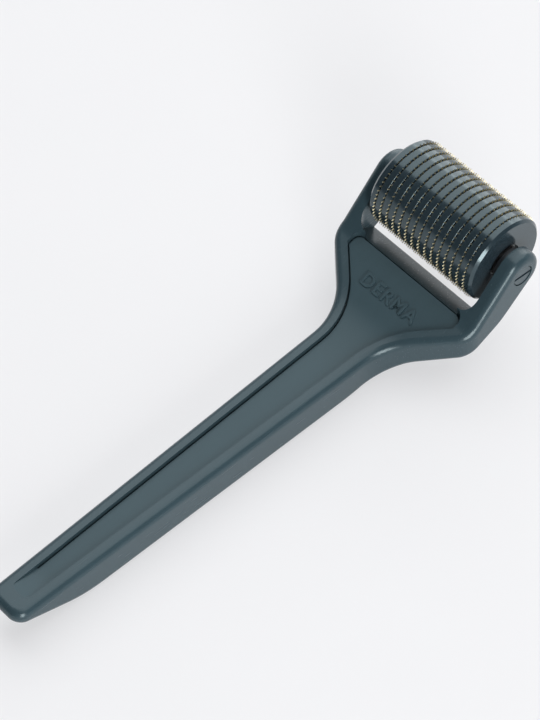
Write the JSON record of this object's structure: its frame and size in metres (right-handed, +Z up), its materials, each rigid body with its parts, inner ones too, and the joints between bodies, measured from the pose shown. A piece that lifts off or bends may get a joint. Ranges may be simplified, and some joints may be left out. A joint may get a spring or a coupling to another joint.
{
  "type": "derma roller",
  "caption": "Microneedling roller: a spinning drum of thin gold-toned needle discs between the bent arms of a slim forked handle with an inlaid front panel.",
  "frame": {"origin": "below the middle of the whole roller, on the surface that the handle's belly rests on", "axes": "+X along the drum's axle to the right, +Y along the handle towards the drum, +Z up, away from the belly"},
  "size_m": [0.0428, 0.142, 0.035],
  "materials": {
    "body_plastic": "satin moulded, fine grain",
    "panel_plastic": "satin moulded, smoother than the body",
    "drum_plastic": "polished",
    "hub_plastic": "moulded",
    "needle_gold": "gold-toned titanium coating on thin etched steel",
    "axle_steel": "turned",
    "screw_steel": "painted to match the handle",
    "washer_plastic": "moulded",
    "bush_plastic": "self-lubricating acetal"
  },
  "bodies": {
    "handle": {"axle": "axle_steel", "axle_screw_left": "screw_steel", "axle_screw_right": "screw_steel", "front_panel": "panel_plastic", "handle_body": "body_plastic", "washer_left": "washer_plastic", "washer_right": "washer_plastic"},
    "roller": {"bush_left": "bush_plastic", "bush_right": "bush_plastic", "drum_cap_left": "drum_plastic", "drum_cap_right": "drum_plastic", "drum_hub": "hub_plastic", "needle_disc_01": "needle_gold", "needle_disc_02": "needle_gold", "needle_disc_03": "needle_gold", "needle_disc_04": "needle_gold", "needle_disc_05": "needle_gold", "needle_disc_06": "needle_gold", "needle_disc_07": "needle_gold", "needle_disc_08": "needle_gold", "needle_disc_09": "needle_gold", "needle_disc_10": "needle_gold", "needle_disc_11": "needle_gold", "needle_disc_12": "needle_gold", "needle_disc_13": "needle_gold", "needle_disc_14": "needle_gold", "needle_disc_15": "needle_gold", "spacer_ring_01": "drum_plastic", "spacer_ring_02": "drum_plastic", "spacer_ring_03": "drum_plastic", "spacer_ring_04": "drum_plastic", "spacer_ring_05": "drum_plastic", "spacer_ring_06": "drum_plastic", "spacer_ring_07": "drum_plastic", "spacer_ring_08": "drum_plastic", "spacer_ring_09": "drum_plastic", "spacer_ring_10": "drum_plastic", "spacer_ring_11": "drum_plastic", "spacer_ring_12": "drum_plastic", "spacer_ring_13": "drum_plastic", "spacer_ring_14": "drum_plastic"}
  },
  "joints": [
    {"name": "roller_spin", "type": "hinge", "parent": "handle", "child": "roller", "pos_m": [0, 0.0598, 0.0238], "axis": [1, 0, 0], "continuous": true}
  ]
}
